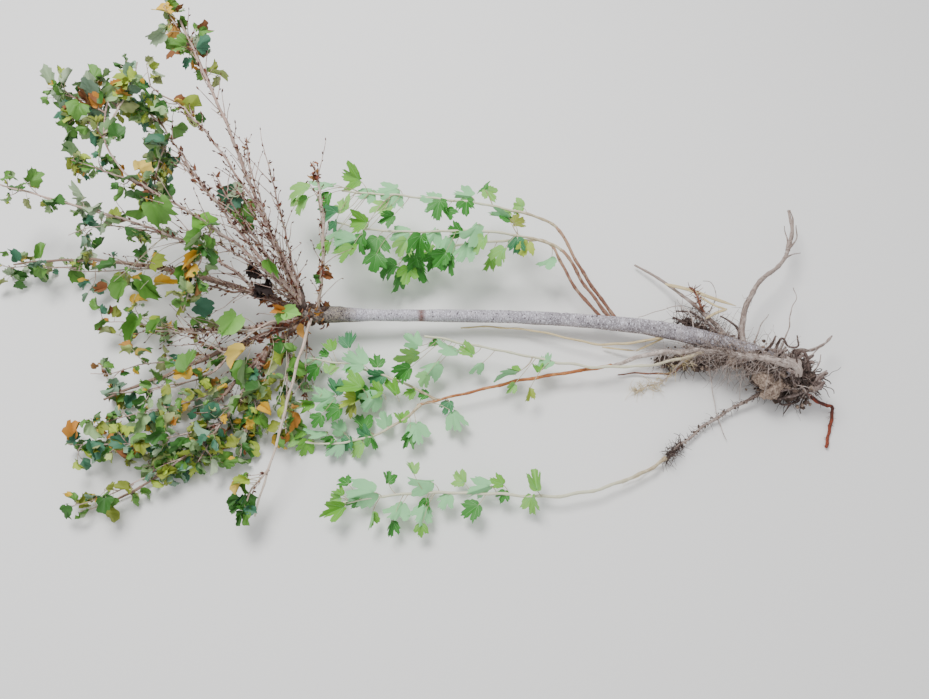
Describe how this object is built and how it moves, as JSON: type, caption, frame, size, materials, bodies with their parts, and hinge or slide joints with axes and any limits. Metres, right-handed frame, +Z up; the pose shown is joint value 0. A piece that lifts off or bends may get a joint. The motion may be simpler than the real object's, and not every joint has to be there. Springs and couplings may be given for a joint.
{
  "type": "bare-rooted grafted berry bush",
  "caption": "Uprooted small grafted berry bush lying on its side: grey stem, forked leafy crown, tangled roots with soil, and leafy suckers.",
  "frame": {"origin": "middle of the plant's box, on the ground that it lies on", "axes": "+X along the stem from the crown towards the roots, +Y across it to the side where the tallest root points, +Z up"},
  "size_m": [1.5829, 0.7629, 0.4402],
  "materials": {
    "trunk_bark": "grey lenticelled bark with pale lichen flecks, matte",
    "cane_bark": "pinkish tan and brown peeling bark, matte",
    "shoot_bark": "straw to orange-brown young stem, satin",
    "root_bark": "brown fibrous root bark, matte",
    "soil": "dry pale earth, matte",
    "crown_leaves": "small crumpled green leaves with yellow and rust tints",
    "shoot_leaves": "bright green lobed leaves with pale undersides"
  },
  "bodies": {
    "root": {"bough_left": "cane_bark", "bough_low": "cane_bark", "bough_low_dark": "cane_bark", "cane_bottom": "cane_bark", "cane_dry_down": "cane_bark", "cane_dry_right": "cane_bark", "cane_far": "cane_bark", "cane_leafy": "cane_bark", "cane_left_high": "cane_bark", "cane_left_low": "cane_bark", "cane_top": "cane_bark", "cane_top_inner": "cane_bark", "cane_upper": "cane_bark", "leaves_bottom": "shoot_leaves", "leaves_chain": "crown_leaves", "leaves_front": "crown_leaves", "leaves_front_right": "crown_leaves", "leaves_hanging": "crown_leaves", "leaves_high": "crown_leaves", "leaves_high_left": "crown_leaves", "leaves_left_inner": "crown_leaves", "leaves_left_low": "crown_leaves", "leaves_left_low_tip": "crown_leaves", "leaves_left_tip": "crown_leaves", "leaves_low_far": "shoot_leaves", "leaves_low_middle": "shoot_leaves", "leaves_low_near": "shoot_leaves", "leaves_mid": "shoot_leaves", "leaves_middle": "crown_leaves", "leaves_near_a": "crown_leaves", "leaves_near_b": "crown_leaves", "leaves_near_c": "crown_leaves", "leaves_near_d": "crown_leaves", "leaves_raised": "crown_leaves", "leaves_tip": "crown_leaves", "leaves_tuft": "crown_leaves", "leaves_upper_a": "shoot_leaves", "leaves_upper_b": "shoot_leaves", "leaves_upper_c": "shoot_leaves", "root_crown": "root_bark", "root_lateral": "root_bark", "root_low_left": "root_bark", "root_orange": "root_bark", "root_right": "root_bark", "root_tall": "root_bark", "root_upper_left": "root_bark", "shoot_bottom": "shoot_bark", "shoot_low": "shoot_bark", "shoot_low_branch_far": "shoot_bark", "shoot_low_branch_near": "shoot_bark", "shoot_mid": "shoot_bark", "shoot_straw": "shoot_bark", "shoot_upper_a": "shoot_bark", "shoot_upper_a_foot": "shoot_bark", "shoot_upper_b": "shoot_bark", "shoot_upper_b_foot": "shoot_bark", "shoot_upper_c": "shoot_bark", "shoot_upper_c_foot": "shoot_bark", "soil_clod": "soil", "trunk": "trunk_bark"}
  },
  "joints": []
}
